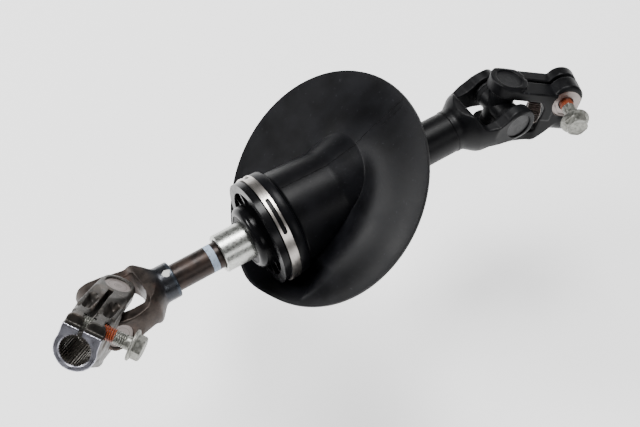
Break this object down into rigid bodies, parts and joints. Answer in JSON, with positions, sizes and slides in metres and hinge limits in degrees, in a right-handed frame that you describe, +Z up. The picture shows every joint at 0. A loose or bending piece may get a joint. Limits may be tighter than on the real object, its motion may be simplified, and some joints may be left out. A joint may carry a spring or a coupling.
{
  "type": "intermediate steering shaft",
  "caption": "Intermediate steering shaft: a telescoping shaft with a universal joint and a clamping yoke at each end, turning in the hub of a slanted rubber dash boot.",
  "frame": {"origin": "on the shaft axis, at the front rim of the boot's hub", "axes": "+X along the shaft from the lower joint to the upper joint, +Z up"},
  "size_m": [0.3525, 0.1378, 0.0881],
  "materials": {
    "lower_clamp_yoke": "phosphated forging, machined end",
    "lower_tube_yoke": "dark heat-tinted forging",
    "lower_shaft": "dark drawn bar",
    "lower_cross": "ground trunnions",
    "lower_tube_cups": "turned, concentric marks",
    "lower_clamp_cups": "turned, concentric marks",
    "lower_cross_seals": "matt",
    "lower_pinch_bolt": "zinc flake",
    "slide_sleeve": "zinc plated",
    "slip_liner": "moulded",
    "upper_tube": "satin black",
    "upper_tube_yoke": "satin black",
    "upper_cross": "satin black",
    "upper_tube_cups": "satin black",
    "upper_clamp_cups": "satin black",
    "upper_cross_seals": "matt",
    "upper_clamp_yoke": "satin black",
    "upper_pinch_bolt": "zinc flake",
    "hub": "moulded",
    "hub_bush": "moulded",
    "hub_seal": "lip seal",
    "band_clamp": "stainless band",
    "boot": "moulded, satin"
  },
  "bodies": {
    "boot": {"boot": "boot", "hub": "hub", "hub_bush": "hub_bush", "hub_seal": "hub_seal", "band_clamp": "band_clamp"},
    "tube": {"upper_tube": "upper_tube", "upper_tube_yoke": "upper_tube_yoke", "slide_sleeve": "slide_sleeve", "slip_liner": "slip_liner", "upper_tube_cups": "upper_tube_cups"},
    "upper_cross": {"upper_cross": "upper_cross", "upper_cross_seals": "upper_cross_seals"},
    "upper_clamp": {"upper_clamp_yoke": "upper_clamp_yoke", "upper_clamp_cups": "upper_clamp_cups", "upper_pinch_bolt": "upper_pinch_bolt"},
    "lower_slide": {"lower_shaft": "lower_shaft", "lower_tube_yoke": "lower_tube_yoke", "lower_tube_cups": "lower_tube_cups"},
    "lower_cross": {"lower_cross": "lower_cross", "lower_cross_seals": "lower_cross_seals"},
    "lower_clamp": {"lower_clamp_yoke": "lower_clamp_yoke", "lower_clamp_cups": "lower_clamp_cups", "lower_pinch_bolt": "lower_pinch_bolt"}
  },
  "joints": [
    {"name": "shaft_spin", "type": "hinge", "parent": "boot", "child": "tube", "pos_m": [0, 0, 0], "axis": [1, 0, 0], "continuous": true},
    {"name": "telescope", "type": "slide", "parent": "tube", "child": "lower_slide", "axis": [1, 0, 0], "range_m": [-0.024, 0.028]},
    {"name": "upper_swing", "type": "hinge", "parent": "tube", "child": "upper_cross", "pos_m": [0.16815, 0, 0], "axis": [0, -0.9893, 0.1461], "range_deg": [-15.7, 60.3]},
    {"name": "upper_tilt", "type": "hinge", "parent": "upper_cross", "child": "upper_clamp", "pos_m": [0.16815, 0, 0], "axis": [0.3795, 0.1352, 0.9153], "range_deg": [-16.5, 59.5]},
    {"name": "lower_swing", "type": "hinge", "parent": "lower_slide", "child": "lower_cross", "pos_m": [-0.09675, 0, 0], "axis": [0, -0.9291, 0.3697], "range_deg": [-0.5, 79.5]},
    {"name": "lower_tilt", "type": "hinge", "parent": "lower_cross", "child": "lower_clamp", "pos_m": [-0.09675, 0, 0], "axis": [-0.6361, -0.2853, -0.7169], "range_deg": [-0.6, 95.4]}
  ]
}
